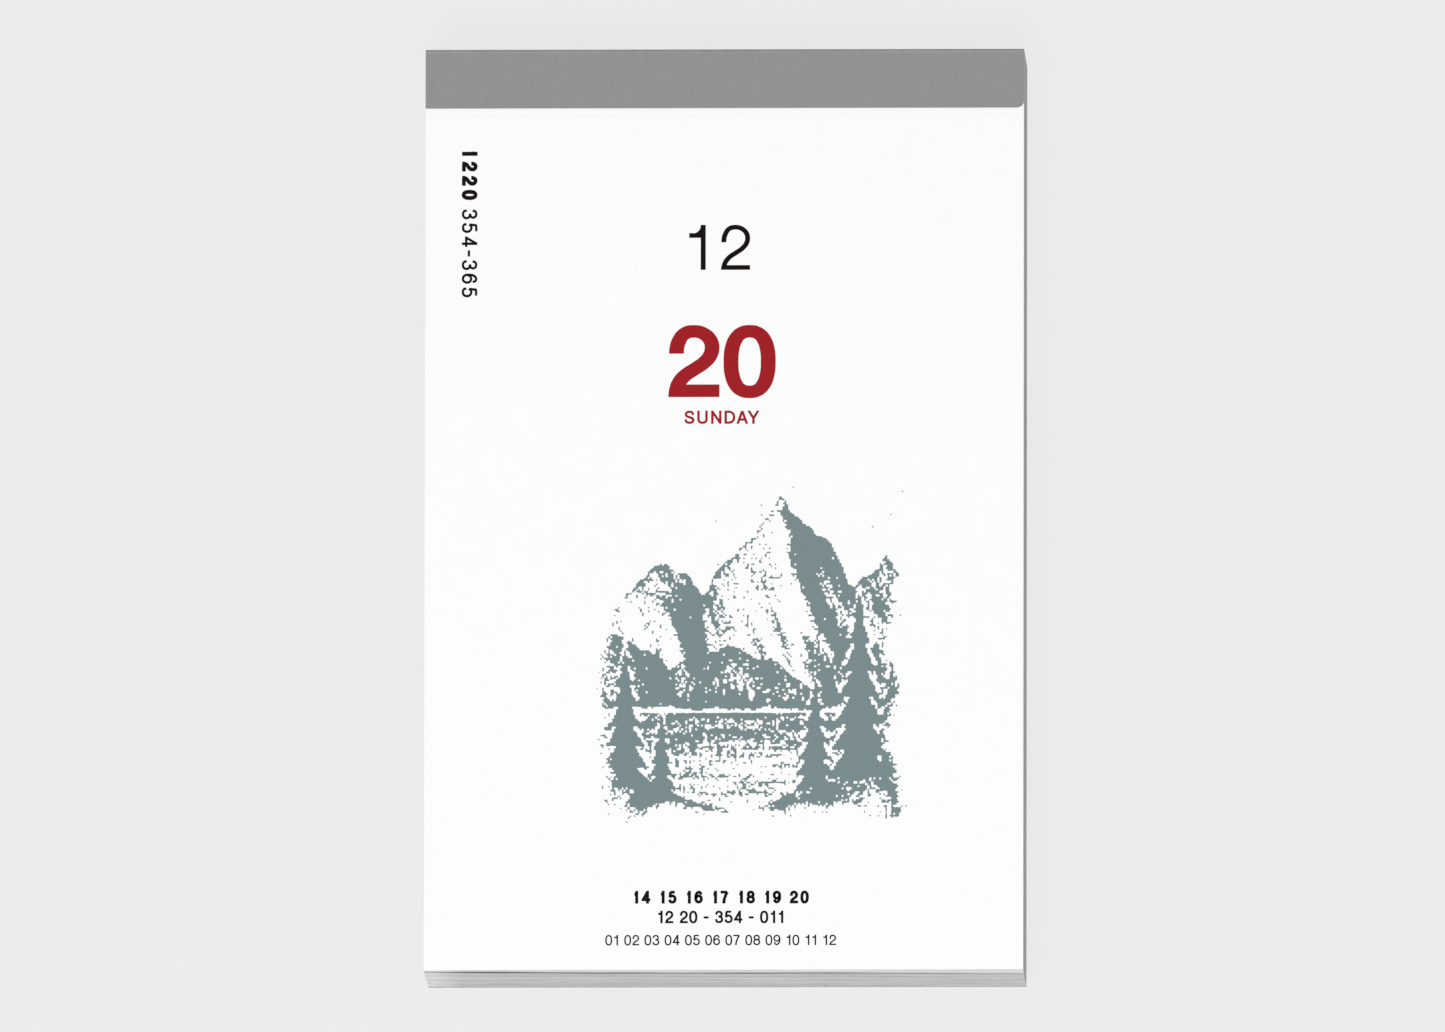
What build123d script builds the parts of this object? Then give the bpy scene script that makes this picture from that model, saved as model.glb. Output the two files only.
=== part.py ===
from build123d import *
import os

# Tear-off day calendar, lying on its back: +Z out of the page, +Y towards the bound head, +X right.
# The origin is the centre of the underside. All sizes are in millimetres.

# Overall size
pad_width = 100.0
pad_length = 155.0

# Paper leaves, one a day
leaf_thickness = 0.058
leaf_gap = 0.003
sheaf_count = 11
leaves_per_sheaf = 33
sheaf_gap = 0.06
foot_jog = 0.1
foot_jog_steps = 3
front_fan = 0.3

# Backing board
board_thickness = 1.5

# Grey binding wrap, folded over the head and glued down front and back
wrap_thickness = 0.35
wrap_front = 9.9
wrap_back = 16.0
wrap_corner_radius = 1.15
glue_film = 0.2

# Tear line of today's leaf: slits cut through the sheet, with narrow ties left between them
tear_offset = 1.2
slit_width = 0.06
tie_width = 0.6
tie_pitch = 2.6
tie_clearance = 0.02
tear_edge_depth = 1.5
fold_gap = 0.02
lift_gap = 0.03

# Heavy-duty staples of flat wire through the head
wire_thickness = 0.6
wire_width = 0.9
wire_clearance = 0.05
wire_bend_radius = 1.0
staple_crown = 13.0
staple_clinch = 4.5
staple_spacing = 50.0
staple_inset = 5.2

# Heights, from the underside up
leaf_pitch = leaf_thickness + leaf_gap
sheaf_pitch = leaves_per_sheaf * leaf_pitch + sheaf_gap
tomorrow_z = board_thickness + sheaf_count * sheaf_pitch + sheaf_gap
today_z = tomorrow_z + leaf_thickness + lift_gap
page_z = today_z + leaf_thickness
top_z = page_z + wrap_thickness

# Lines across the pad, from the head down to the foot
head_y = pad_length / 2
wrap_inner_y = head_y - wrap_thickness
paper_head_y = wrap_inner_y - glue_film
staple_y = head_y - staple_inset
wrap_edge_y = head_y - wrap_front
rear_flange_y = head_y - wrap_back
tear_y = wrap_edge_y - tear_offset
edge_top_y = tear_y - slit_width
fold_y = edge_top_y - tear_edge_depth
foot_y = -pad_length / 2
page_foot_y = foot_y + front_fan

# Staple heights: the crown lies flush with the page, the clinched ends flush with the board's rebate
crown_z = page_z - wire_clearance - wire_thickness / 2
clinch_z = wrap_thickness + wire_clearance + wire_thickness / 2
channel_width = wire_width + 2 * wire_clearance
staple_places = {"staple_left": -staple_spacing / 2, "staple_right": staple_spacing / 2}

os.makedirs("parts", exist_ok=True)


def slab(x_size, low_y, high_y, low_z, high_z):
    """A flat sheet or block centred on the pad's middle, between two lines across it and two heights."""
    with Locations((0, (low_y + high_y) / 2, low_z)):
        Box(x_size, high_y - low_y, high_z - low_z, align=(Align.CENTER, Align.CENTER, Align.MIN))


def staple_wire(x_middle, room):
    """Flat wire bent as a staple: crown across the top, two legs down, ends clinched in towards the middle.
    With some room added on every side, it is the channel that the staple takes."""
    leg = staple_crown / 2
    end = leg - staple_clinch - room
    with BuildPart() as wire:
        with BuildSketch(Plane((x_middle, staple_y, 0), x_dir=(1, 0, 0), z_dir=(0, -1, 0))):
            with BuildLine():
                FilletPolyline(
                    (-end, clinch_z),
                    (-leg, clinch_z),
                    (-leg, crown_z),
                    (leg, crown_z),
                    (leg, clinch_z),
                    (end, clinch_z),
                    radius=wire_bend_radius,
                )
            trace(line_width=wire_thickness + 2 * room)
        extrude(amount=wire_width / 2 + room, both=True)
    return wire.part


def staple_channel(x_middle):
    """The room that a staple takes in the paper and board, open above the crown and below the ends."""
    straight = staple_crown - 2 * wire_bend_radius
    end_length = staple_clinch - wire_bend_radius
    with BuildPart() as channel:
        add(staple_wire(x_middle, wire_clearance))
        with Locations((x_middle, staple_y, crown_z)):
            Box(straight, channel_width, top_z - crown_z, align=(Align.CENTER, Align.CENTER, Align.MIN))
        with Locations((x_middle, staple_y, clinch_z)):
            with GridLocations(straight - end_length, 0, 2, 1):
                Box(end_length, channel_width, clinch_z, align=(Align.CENTER, Align.CENTER, Align.MAX))
    return channel.part


channels = [staple_channel(x_middle) for x_middle in staple_places.values()]

# Backing board: the back is pressed in at the head, so that the wrap's rear flange lies flush
with BuildPart() as back_board:
    slab(pad_width, foot_y, paper_head_y, 0, board_thickness)
    with Locations((0, rear_flange_y, 0)):
        Box(
            pad_width,
            paper_head_y - rear_flange_y,
            wrap_thickness,
            align=(Align.CENTER, Align.MIN, Align.MIN),
            mode=Mode.SUBTRACT,
        )
    add(channels, mode=Mode.SUBTRACT)
back_board.part.label = "back_board"
export_step(back_board.part, "parts/back_board.step")

# Binding wrap: one strip folded round the head, with soft folds and one rounded front corner
with BuildPart() as head_wrap:
    middle = wrap_thickness / 2
    with BuildSketch(Plane.YZ) as section:
        with BuildLine() as strip:
            FilletPolyline(
                (wrap_edge_y, top_z - middle),
                (head_y - middle, top_z - middle),
                (head_y - middle, middle),
                (rear_flange_y, middle),
                radius=glue_film + middle,
            )
        trace(line_width=wrap_thickness)
    extrude(amount=pad_width / 2, both=True)
    front_corners = head_wrap.edges().filter_by(Axis.Z).filter_by_position(Axis.Z, page_z, top_z)
    fillet(front_corners.sort_by(Axis.X)[-1], radius=wrap_corner_radius)
head_wrap.part.label = "head_wrap"
export_step(head_wrap.part, "parts/head_wrap.step")

# Padding glue, a film on the head edges of the paper and board between the wrap's two folds
with BuildPart() as head_glue:
    slab(pad_width, paper_head_y, wrap_inner_y, wrap_thickness + glue_film, page_z - glue_film)
head_glue.part.label = "head_glue"
export_step(head_glue.part, "parts/head_glue.step")

# Staples
for name, x_middle in staple_places.items():
    with BuildPart() as staple:
        add(staple_wire(x_middle, 0))
    staple.part.label = name
    export_step(staple.part, f"parts/{name}.step")

# Stubs of every leaf under today's, glued into one block with the staples through it
with BuildPart() as stub_block:
    slab(pad_width, tear_y, paper_head_y, board_thickness, today_z)
    add(channels, mode=Mode.SUBTRACT)
stub_block.part.label = "stub_block"
export_step(stub_block.part, "parts/stub_block.step")

# Stub of today's leaf, slotted where the crowns press through it
with BuildPart() as today_stub:
    slab(pad_width, tear_y, paper_head_y, today_z, page_z)
    add(channels, mode=Mode.SUBTRACT)
today_stub.part.label = "today_stub"
export_step(today_stub.part, "parts/today_stub.step")


def torn_sheet(low_y, z):
    """Outline of a sheet that hangs from its tear line by a row of narrow ties."""
    tie_count = int(pad_width // tie_pitch)
    with BuildSketch(Plane.XY.offset(z)) as outline:
        with Locations((0, edge_top_y)):
            Rectangle(pad_width, edge_top_y - low_y, align=(Align.CENTER, Align.MAX))
            with GridLocations(tie_pitch, 0, tie_count, 1):
                Rectangle(tie_width, slit_width - tie_clearance, align=(Align.CENTER, Align.MIN))
    return outline.sketch


# Tear edge of today's leaf: the strip above the line where the leaf bends up, with its ties to the stub
with BuildPart() as tear_edge:
    extrude(torn_sheet(fold_y, today_z), amount=leaf_thickness)
tear_edge.part.label = "tear_edge"
export_step(tear_edge.part, "parts/tear_edge.step")

# Today's leaf, below the line where it bends up
with BuildPart() as today_leaf:
    slab(pad_width, page_foot_y, fold_y - fold_gap, today_z, page_z)
today_leaf.part.label = "today_leaf"
export_step(today_leaf.part, "parts/today_leaf.step")

# Tomorrow's leaf, with its own ties to the stub block
with BuildPart() as tomorrow_leaf:
    extrude(torn_sheet(page_foot_y, tomorrow_z), amount=leaf_thickness)
tomorrow_leaf.part.label = "tomorrow_leaf"
export_step(tomorrow_leaf.part, "parts/tomorrow_leaf.step")

# The other leaves, in sheaves from the board up. Each sheaf was knocked up a little apart from the next, so
# their foot edges step in and out.
for number in range(1, sheaf_count):
    sheaf_z = board_thickness + sheaf_gap + (number - 1) * sheaf_pitch
    sheaf_foot_y = foot_y + foot_jog * (number % foot_jog_steps) / (foot_jog_steps - 1)
    with BuildPart() as leaf_sheaf:
        with Locations(*[(0, edge_top_y, sheaf_z + leaf * leaf_pitch) for leaf in range(leaves_per_sheaf)]):
            Box(
                pad_width,
                edge_top_y - sheaf_foot_y,
                leaf_thickness,
                align=(Align.CENTER, Align.MAX, Align.MIN),
            )
    leaf_sheaf.part.label = f"leaf_sheaf_{number:02d}"
    export_step(leaf_sheaf.part, f"parts/leaf_sheaf_{number:02d}.step")

# The front sheaf: its leaves fan back at the foot towards the page
front_sheaf_z = board_thickness + sheaf_gap + (sheaf_count - 1) * sheaf_pitch
with BuildPart() as front_sheaf:
    for leaf in range(leaves_per_sheaf):
        leaf_foot_y = foot_y + front_fan * (leaf + 1) / leaves_per_sheaf
        leaf_z = front_sheaf_z + leaf * leaf_pitch
        slab(pad_width, leaf_foot_y, edge_top_y, leaf_z, leaf_z + leaf_thickness)
front_sheaf.part.label = f"leaf_sheaf_{sheaf_count:02d}"
export_step(front_sheaf.part, f"parts/leaf_sheaf_{sheaf_count:02d}.step")

print(f"overall {pad_width:.2f} x {pad_length:.2f} x {top_z:.3f}, page at {page_z:.3f}, fold at y {fold_y:.3f}")
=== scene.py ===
# %% [markdown]
# # A tear-off day calendar
# The real object is a thick pad of thin white leaves, one for each day. At the head they are glued,
# stapled and covered by a folded strip of grey binding paper, and below that strip each leaf tears off
# along a row of slits. The CAD frame holds every piece at its real size. This script gives those pieces
# their surfaces, and models what the frame keeps plain: the loose edges of the leaves, the page that
# bends up and tears off, and the print.

# %% Load the frame
import bisect
import math
import random

import bmesh
import bpy
import numpy
from mathutils import Matrix, Vector, noise


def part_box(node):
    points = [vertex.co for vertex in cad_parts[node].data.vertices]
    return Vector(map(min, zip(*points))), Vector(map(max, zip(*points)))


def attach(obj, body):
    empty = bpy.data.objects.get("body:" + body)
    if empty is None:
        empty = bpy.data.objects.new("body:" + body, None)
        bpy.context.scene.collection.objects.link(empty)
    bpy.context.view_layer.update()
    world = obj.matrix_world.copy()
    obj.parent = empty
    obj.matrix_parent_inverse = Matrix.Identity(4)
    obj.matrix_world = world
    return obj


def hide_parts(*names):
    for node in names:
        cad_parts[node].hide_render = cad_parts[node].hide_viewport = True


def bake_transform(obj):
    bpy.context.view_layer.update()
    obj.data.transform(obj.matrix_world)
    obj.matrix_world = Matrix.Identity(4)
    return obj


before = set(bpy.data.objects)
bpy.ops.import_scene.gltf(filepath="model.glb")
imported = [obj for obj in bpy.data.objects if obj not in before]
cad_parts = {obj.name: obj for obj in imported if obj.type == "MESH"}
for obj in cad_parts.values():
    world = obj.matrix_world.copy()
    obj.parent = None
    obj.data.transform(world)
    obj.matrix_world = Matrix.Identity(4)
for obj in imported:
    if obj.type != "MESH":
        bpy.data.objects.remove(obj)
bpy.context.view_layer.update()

MM = 0.001

# %% [markdown]
# Everything below is placed from the frame, so these few places are read once: today's leaf, the narrow
# strip above it that tears, the stub that stays behind, tomorrow's leaf, and the sheaves of leaves under
# it. The front sheaf is the uppermost one, and front_depth is how far below the page it ends.

# %% Read the places of the leaves
sheaf_count = 11
leaf_low, leaf_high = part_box("today_leaf")
fold_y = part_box("tear_edge")[0].y
tear_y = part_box("today_stub")[0].y
next_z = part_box("tomorrow_leaf")[1].z
sheaf_boxes = [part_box(f"leaf_sheaf_{number:02d}") for number in range(1, sheaf_count + 1)]
half_width = leaf_high.x
page_z = leaf_high.z
page_foot_y = leaf_low.y
leaf_thickness = leaf_high.z - leaf_low.z
front_depth = page_z - (sheaf_boxes[-1][0].z + sheaf_boxes[-2][1].z) / 2
print(f"page {2 * half_width / MM:.1f} mm wide, foot {page_foot_y / MM:.2f}, face {page_z / MM:.3f} mm")

# %% [markdown]
# The photograph looks almost straight down, from a little below the foot and a little to the right, so a
# thin band of leaf edges shows at the foot and a thinner one on the right. Its edges are parallel, which
# means a very long lens. Seen from a corner like this, the page's two directions are not quite square to
# each other in the picture, so the small lean is shared between them.

# %% Camera
IMAGE_WIDTH = 1445
PIXELS_PER_MM = 5.991
camera_distance = 8.0
camera_reach = 200
tilt_to_foot = math.radians(6.75)
tilt_to_right = math.radians(1.62)
view_centre = Vector((-0.26 * MM, -1.03 * MM, page_z))


def put_in_scene(name, data):
    """A new object in the scene, at the origin."""
    made = bpy.data.objects.new(name, data)
    bpy.context.scene.collection.objects.link(made)
    return made


outward = Vector((
    math.sin(tilt_to_right),
    -math.cos(tilt_to_right) * math.sin(tilt_to_foot),
    math.cos(tilt_to_right) * math.cos(tilt_to_foot),
))
lean = -outward.x * outward.y
up = Vector((0, 1, 0)) - outward * outward.y
up = (Matrix.Rotation(lean / 2, 3, outward) @ up).normalized()
right = up.cross(outward)

camera_data = bpy.data.cameras.new("camera")
camera_data.sensor_fit = "HORIZONTAL"
camera_data.lens = camera_data.sensor_width * camera_distance / (IMAGE_WIDTH / PIXELS_PER_MM * MM)
camera_data.clip_end = camera_reach
camera = put_in_scene("camera", camera_data)
camera.matrix_world = Matrix((right, up, outward)).transposed().to_4x4()
camera.location = view_centre + outward * camera_distance
bpy.context.scene.camera = camera
bpy.context.scene.view_settings.view_transform = "Standard"
print(f"lens {camera_data.lens:.0f} mm at {camera_distance} m")

# %% [markdown]
# Materials and lights are made of nodes. One small function adds a node, sets its properties and fills
# its inputs. An input takes a value or a link, and where it is given a whole node, that node's first
# output. The other function turns the sRGB colours that people write into the linear ones that Blender
# computes with.

# %% Node and colour helpers
MATH = "ShaderNodeMath"
MAP_RANGE = "ShaderNodeMapRange"


def add_node(tree, kind, inputs=None, **settings):
    """Adds one node, sets its properties, and gives each named input a value or a link."""
    node = tree.nodes.new(kind)
    for name, value in settings.items():
        setattr(node, name, value)
    for name, value in (inputs or {}).items():
        source = value.outputs[0] if isinstance(value, bpy.types.Node) else value
        if isinstance(source, bpy.types.NodeSocket):
            tree.links.new(source, node.inputs[name])
        else:
            node.inputs[name].default_value = source
    return node


def srgb(code):
    """Turns an sRGB hex colour into the linear colour that a socket takes."""
    channels = [int(code[place:place + 2], 16) / 255 for place in (1, 3, 5)]
    linear = [c / 12.92 if c <= 0.04045 else ((c + 0.055) / 1.055) ** 2.4 for c in channels]
    return (*linear, 1.0)


print("mid grey is", round(srgb("#808080")[0], 3), "in linear light")

# %% [markdown]
# The backdrop of the photograph is one even pale grey with hardly a shadow. A floor lit only by lamps
# would shade off towards the edges, so most of what the camera sees of it is a plain glow of that grey,
# and the rest is an ordinary matte surface that keeps a faint shadow under the pad. To the light that
# bounces off it, the floor is a darker matte, or it would fill the pad's sides with light that the
# photograph doesn't show.

# %% Floor and backdrop
BACKDROP = "#ECECEC"
glow_share = 0.93
floor_half = 60


def seen_directly(tree):
    """One where a ray comes from the camera, or from a shiny or clear surface that mirrors the backdrop."""
    path = add_node(tree, "ShaderNodeLightPath")
    glossy, clear = path.outputs["Is Glossy Ray"], path.outputs["Is Transmission Ray"]
    shiny = add_node(tree, MATH, {0: glossy, 1: clear}, operation="MAXIMUM")
    return add_node(tree, MATH, {0: path.outputs["Is Camera Ray"], 1: shiny}, operation="MAXIMUM")


def mesh_data(name, mesh):
    """Turns a bmesh into the mesh data of an object, and frees it."""
    data = bpy.data.meshes.new(name)
    mesh.to_mesh(data)
    mesh.free()
    return data


floor_material = bpy.data.materials.new("studio_floor")
floor_material.use_nodes = True
tree = floor_material.node_tree
tree.nodes.clear()
glow = add_node(tree, "ShaderNodeEmission", {"Color": srgb(BACKDROP), "Strength": 1.0})
pale = add_node(tree, "ShaderNodeBsdfDiffuse", {"Color": srgb(BACKDROP)})
dull = add_node(tree, "ShaderNodeBsdfDiffuse", {"Color": srgb("#9F9F9F")})
shown = add_node(tree, "ShaderNodeMixShader", {0: glow_share, 1: pale, 2: glow})
whole = add_node(tree, "ShaderNodeMixShader", {0: seen_directly(tree), 1: dull, 2: shown})
add_node(tree, "ShaderNodeOutputMaterial", {"Surface": whole})

floor_mesh = bmesh.new()
bmesh.ops.create_grid(floor_mesh, x_segments=1, y_segments=1, size=floor_half)
floor_data = mesh_data("floor", floor_mesh)
floor_data.materials.append(floor_material)
floor = put_in_scene("floor", floor_data)
print("floor", tuple(round(size) for size in floor.dimensions), "m")

# %% [markdown]
# The page is the brightest part of the photograph, the foot edges are about half as bright and the right
# side darker still. So a low even sky fills the shadows, and one large soft lamp hangs over the foot and
# a little to the left.

# %% World and lamp
sky_strength = 0.42
lamp_share = 0.62
lamp_distance = 4.0
lamp_size = 1.8
lamp_direction = Vector((-0.06, -0.35, 1.0)).normalized()

world = bpy.data.worlds.new("studio")
bpy.context.scene.world = world
world.use_nodes = True
tree = world.node_tree
tree.nodes.clear()
sky = add_node(tree, "ShaderNodeBackground", {"Color": srgb("#FFFFFF"), "Strength": sky_strength})
backdrop = add_node(tree, "ShaderNodeBackground", {"Color": srgb(BACKDROP), "Strength": 1.0})
both = add_node(tree, "ShaderNodeMixShader", {0: seen_directly(tree), 1: sky, 2: backdrop})
add_node(tree, "ShaderNodeOutputWorld", {"Surface": both})

lamp_data = bpy.data.lights.new("soft_lamp", "AREA")
lamp_data.shape = "DISK"
lamp_data.size = lamp_size
lamp_data.energy = lamp_share * math.pi ** 2 * lamp_distance ** 2 / lamp_direction.z
lamp = put_in_scene("soft_lamp", lamp_data)
lamp.location = view_centre + lamp_direction * lamp_distance
lamp.rotation_euler = lamp_direction.to_track_quat("Z", "Y").to_euler()
print(f"lamp {lamp_data.energy:.1f} W, sky {sky_strength}")

# %% [markdown]
# Paper, board, glue, wire and ink all have a colour that drifts softly between two tones, and some have
# a surface that is raised a little in the same way. Both follow a random pattern on Object coordinates,
# so a patch has its real size, stays in its place on the piece and needs no unwrapping. The finishes
# share these helpers.

# %% Helpers for the finishes


def fresh_material(name, roughness, specular=0.3):
    """A new material with Blender's all-round shader, and the coordinates that stay with the object."""
    material = bpy.data.materials.new(name)
    material.use_nodes = True
    tree = material.node_tree
    shader = tree.nodes["Principled BSDF"]
    shader.inputs["Roughness"].default_value = roughness
    shader.inputs["Specular IOR Level"].default_value = specular
    place = add_node(tree, "ShaderNodeTexCoord").outputs["Object"]
    return material, tree, shader, place


def patches(tree, place, size_mm, detail=3.0):
    """A soft random pattern whose patches have a real size."""
    scale = 1 / (size_mm * MM)
    pattern = add_node(tree, "ShaderNodeTexNoise", {"Vector": place, "Scale": scale, "Detail": detail})
    return pattern.outputs["Fac"]


def tint(tree, factor, dark, light):
    """A colour that drifts between two tones. The node keeps its colours at inputs 6 and 7 and output 2."""
    mixed = add_node(tree, "ShaderNodeMix", {0: factor, 6: dark, 7: light}, data_type="RGBA")
    return mixed.outputs[2]


def cloud_over(tree, shader, place, size_mm, thin, full):
    """Colours a whole surface in soft patches between two tones."""
    colour = tint(tree, patches(tree, place, size_mm), srgb(thin), srgb(full))
    tree.links.new(colour, shader.inputs["Base Color"])


def emboss(tree, shader, height, depth_mm, strength):
    """Raises the surface a little where a pattern is high."""
    depth = depth_mm * MM
    bump = add_node(tree, "ShaderNodeBump", {"Height": height, "Distance": depth, "Strength": strength})
    tree.links.new(bump.outputs["Normal"], shader.inputs["Normal"])


print("helpers for the finishes ready")

# %% [markdown]
# The leaves are thin uncoated paper. Held to the light, such paper is cloudy where its fibres gathered,
# in patches of a few millimetres, and its surface has a fine tooth. Both are faint: the page still reads
# as plain white. The tooth of real paper is some hundredths of a millimetre, so it is drawn coarser here
# to show at all. On the pad a leaf has white paper under it. Lifted, it has none, and some light goes
# through, so its bare back is a little greyer.

# %% Leaf paper
paper_cloud_mm = 2.6
paper_tooth_mm = 0.22


def thin_paper(name, thin, full):
    """Uncoated paper between the tone where its fibres lie thin and the tone where they gather."""
    material, tree, shader, place = fresh_material(name, roughness=0.88)
    cloud_over(tree, shader, place, paper_cloud_mm, thin, full)
    emboss(tree, shader, patches(tree, place, paper_tooth_mm), depth_mm=0.01, strength=0.25)
    return material


leaf_paper = thin_paper("uncoated_leaf_paper", "#F9F9F9", "#FCFCFC")
leaf_back = thin_paper("uncoated_paper_back", "#ECECEC", "#F3F3F3")
print("papers:", leaf_paper.name, leaf_back.name)

# %% [markdown]
# Cut edges of paper look different from its face: the guillotine leaves fibres and a little dust, and
# each handful of leaves takes the light in its own way. So the edge material is the same paper with long
# thin streaks, which run along the leaves. Its two tones are much greyer than the face, partly for the
# fibres and dust and partly as painted shade that keeps the sides of the pad dim. The next two cells go
# on with this material.

# %% Cut edges of the leaves
streak_length_mm = 180.0
streak_height_mm = 2.2
edge_paper, tree, shader, place = fresh_material("cut_paper_edges", roughness=0.95, specular=0.0)
along, upward = 1 / (streak_length_mm * MM), 1 / (streak_height_mm * MM)
stretched = add_node(tree, "ShaderNodeMapping", {"Vector": place, "Scale": (along, along, upward)})
streaks = add_node(
    tree, "ShaderNodeTexNoise", {"Vector": stretched, "Scale": 1.0, "Detail": 7.0, "Roughness": 0.78}
)
uneven = add_node(tree, MAP_RANGE, {"Value": streaks.outputs["Fac"], "From Min": 0.25, "From Max": 0.75})
# Greyer than the leaf paper: cut fibres and dust, and painted shade for the pad's dim sides.
dusty_edge_with_painted_shade = tint(tree, uneven, srgb("#C5C5C5"), srgb("#EFEFEF"))
print("streaks:", streak_length_mm, "by", streak_height_mm, "mm")

# %% [markdown]
# In the photograph the front sheaf stands a little apart from the rest at the foot. The opening is a
# wavy line that sinks slowly to the right. It is widest and darkest left of the middle, narrows to the
# right, and closes towards the head. The leaves are bent along this line further down. A gap so thin is
# easily lost in a picture, so its shade is worked out here as well, with a rim that the streaks fray.

# %% Shade in the opening
gap_shift = 1.3 * MM
gap_slant = 0.035
gap_ripple = 0.35 * MM
gap_ripple_length = 12.7 * MM
gap_ripple_start = -37.0 * MM
gap_core = 0.35 * MM
gap_shade_reach = 1.9 * MM
gap_fray = 0.9 * MM
gap_sharpness = 2.0
gap_narrowing = (-2.0 * MM, 24.0 * MM)
gap_narrowed = 0.55
loosening = 3.0
axes = add_node(tree, "ShaderNodeSeparateXYZ", {"Vector": place})
to_right, to_head, above = axes.outputs["X"], axes.outputs["Y"], axes.outputs["Z"]

to_foot = add_node(tree, MAP_RANGE, {"Value": to_head, "From Min": tear_y, "From Max": page_foot_y})
looseness = add_node(tree, MATH, {0: to_foot, 1: loosening}, operation="POWER")
phase = add_node(
    tree,
    MATH,
    {0: to_right, 1: 1 / gap_ripple_length, 2: -gap_ripple_start / gap_ripple_length},
    operation="MULTIPLY_ADD",
)
ripple = add_node(tree, MATH, {0: phase}, operation="SINE")
level = add_node(tree, MATH, {0: ripple, 1: gap_ripple, 2: gap_shift}, operation="MULTIPLY_ADD")
sinking = add_node(tree, MATH, {0: to_right, 1: gap_slant, 2: level}, operation="MULTIPLY_ADD")
raised = add_node(tree, MATH, {0: sinking, 1: looseness, 2: above}, operation="MULTIPLY_ADD")
above_gap = add_node(tree, MATH, {0: raised, 1: page_z - front_depth}, operation="SUBTRACT")
from_gap = add_node(tree, MATH, {0: above_gap}, operation="ABSOLUTE")
frayed = add_node(tree, MATH, {0: uneven, 1: gap_fray, 2: from_gap}, operation="MULTIPLY_ADD")
in_gap = add_node(
    tree,
    MAP_RANGE,
    {"Value": frayed, "From Min": gap_core, "From Max": gap_shade_reach, "To Min": 1.0, "To Max": 0.0},
    interpolation_type="SMOOTHSTEP",
)
dark_core = add_node(tree, MATH, {0: in_gap, 1: gap_sharpness}, operation="POWER")
loose_core = add_node(tree, MATH, {0: dark_core, 1: looseness}, operation="MULTIPLY")
wide_end, narrow_end = gap_narrowing
gap_depth = add_node(
    tree,
    MAP_RANGE,
    {"Value": to_right, "From Min": wide_end, "From Max": narrow_end, "To Min": 1.0, "To Max": gap_narrowed},
)
gap_shade = add_node(tree, MATH, {0: loose_core, 1: gap_depth}, operation="MULTIPLY")
print(f"opening {front_depth / MM:.2f} mm under the page, {gap_shift / MM:.1f} mm deeper at the foot")

# %% [markdown]
# Two places of the edges get painted light, a paler colour laid on where more light falls: the front
# sheaf above the opening, which faces the lamp, and the left corner of the foot, which catches more
# light from the left. They are laid over the streaks, and the painted shade in the opening lies over
# both.

# %% Painted light on the edges
# The near-white of the painted light.
PAINTED_LIGHT_EDGE = "#FDFDFD"
front_fade = 1.35 * MM
front_painted_light = 0.45
corner_start = -43.0 * MM
corner_reach = 5.0 * MM
corner_painted_light = 0.7
# Painted light on the front sheaf's edges, just above the opening.
front = add_node(tree, MAP_RANGE, {"Value": above_gap, "From Max": front_fade, "To Max": front_painted_light})
# Painted light on the left corner of the foot.
corner = add_node(
    tree,
    MAP_RANGE,
    {"Value": to_right, "From Min": corner_start, "From Max": -half_width, "To Max": corner_painted_light},
    interpolation_type="SMOOTHSTEP",
)
at_foot = add_node(
    tree, MAP_RANGE, {"Value": to_head, "From Min": page_foot_y + corner_reach, "From Max": page_foot_y}
)
painted_light_corner_mask = add_node(tree, MATH, {0: corner, 1: at_foot}, operation="MULTIPLY")
edge_light_painted_at_corner = tint(tree, painted_light_corner_mask, dusty_edge_with_painted_shade, srgb(PAINTED_LIGHT_EDGE))
edge_light_painted_at_front = tint(tree, front, edge_light_painted_at_corner, srgb(PAINTED_LIGHT_EDGE))
tree.links.new(tint(tree, gap_shade, edge_light_painted_at_front, srgb("#383838")), shader.inputs["Base Color"])
print("edge paper:", len(tree.nodes), "nodes")

# %% [markdown]
# The head is wrapped in grey binding paper, coloured right through and lightly calendered. From a step
# away it is one flat grey. Close up it has a fine felt grain, some paler fibres, and folds a little
# lighter where the paper was creased. The folds are found by their place on the piece, so nothing has
# to be painted by hand.

# %% Grey binding paper
wrap_grain_mm = 0.35
wrap_fibre_mm = 1.6
fold_reach = 0.8 * MM
wrap_low, wrap_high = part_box("head_wrap")
binding_paper, tree, shader, place = fresh_material("grey_binding_paper", roughness=0.72)
grain = patches(tree, place, wrap_grain_mm)
fibres = patches(tree, place, wrap_fibre_mm, detail=6.0)
body_tone = tint(tree, fibres, srgb("#898989"), srgb("#929292"))
axes = add_node(tree, "ShaderNodeSeparateXYZ", {"Vector": place})
to_head, above = axes.outputs["Y"], axes.outputs["Z"]
sides = (
    (to_head, wrap_high.y - fold_reach, wrap_high.y),
    (above, wrap_high.z - fold_reach, wrap_high.z),
    (above, wrap_low.z + fold_reach, wrap_low.z),
)
at_head, at_front, at_back = [
    add_node(tree, MAP_RANGE, {"Value": axis, "From Min": start, "From Max": end})
    for axis, start, end in sides
]
at_either = add_node(tree, MATH, {0: at_front, 1: at_back}, operation="MAXIMUM")
at_fold = add_node(tree, MATH, {0: at_head, 1: at_either}, operation="MULTIPLY")
worn = add_node(tree, MATH, {0: at_fold, 1: fibres}, operation="MULTIPLY")
tree.links.new(tint(tree, worn, body_tone, srgb("#B4B4B4")), shader.inputs["Base Color"])
emboss(tree, shader, grain, depth_mm=0.02, strength=0.35)
print("binding paper:", len(tree.nodes), "nodes")

# %% [markdown]
# Under the leaves lies a board of pressed pulp. It is off-white, a little cloudy, flecked with darker
# bits of the waste paper that it is made of, and its surface is rough. The flecks are the peaks of a
# fine random pattern, which is simpler than scattering single bits. The hidden parts get their own
# finish too: milky padding glue along the head, and staples of galvanised wire.

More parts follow.
